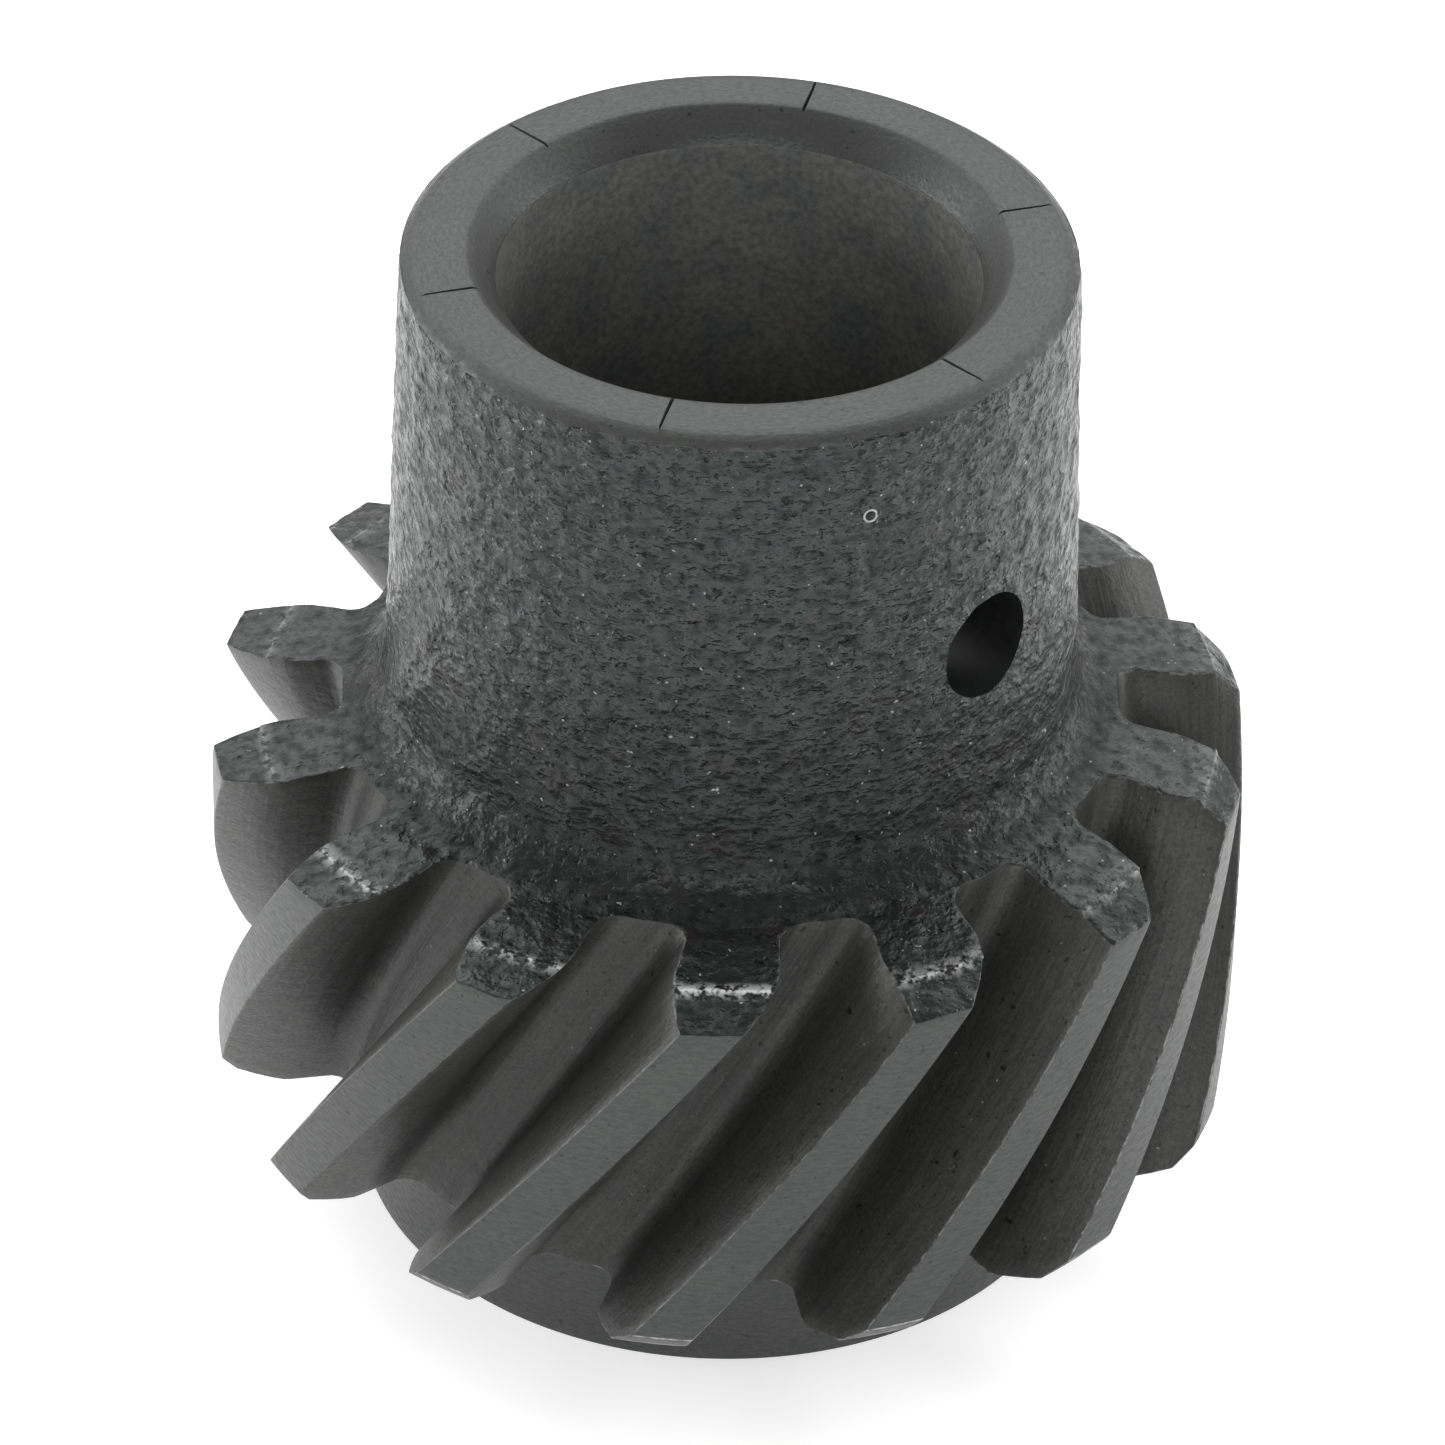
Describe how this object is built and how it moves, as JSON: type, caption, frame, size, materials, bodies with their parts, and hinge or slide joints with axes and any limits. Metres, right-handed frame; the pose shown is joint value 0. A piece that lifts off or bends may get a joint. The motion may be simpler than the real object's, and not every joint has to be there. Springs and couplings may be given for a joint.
{
  "type": "helical gear",
  "caption": "Cast-iron helical drive gear: plain hub with a pilot hole for a drive pin in one wall, a right-hand helical toothed rim and a short boss round one through bore.",
  "frame": {"origin": "on the bore's axis, in the plane of the boss's lower face", "axes": "+Z along the bore's axis, from the toothed end to the open end of the hub; +X to the right and -Y to the front of the view that shows the cross hole on the right"},
  "size_m": [0.0298, 0.0298, 0.0312],
  "materials": {
    "casting": "dark phosphate finish: sandy as-cast skin on the hub, smooth turned and cut faces"
  },
  "bodies": {
    "root": {"gear_casting": "casting"}
  },
  "joints": []
}
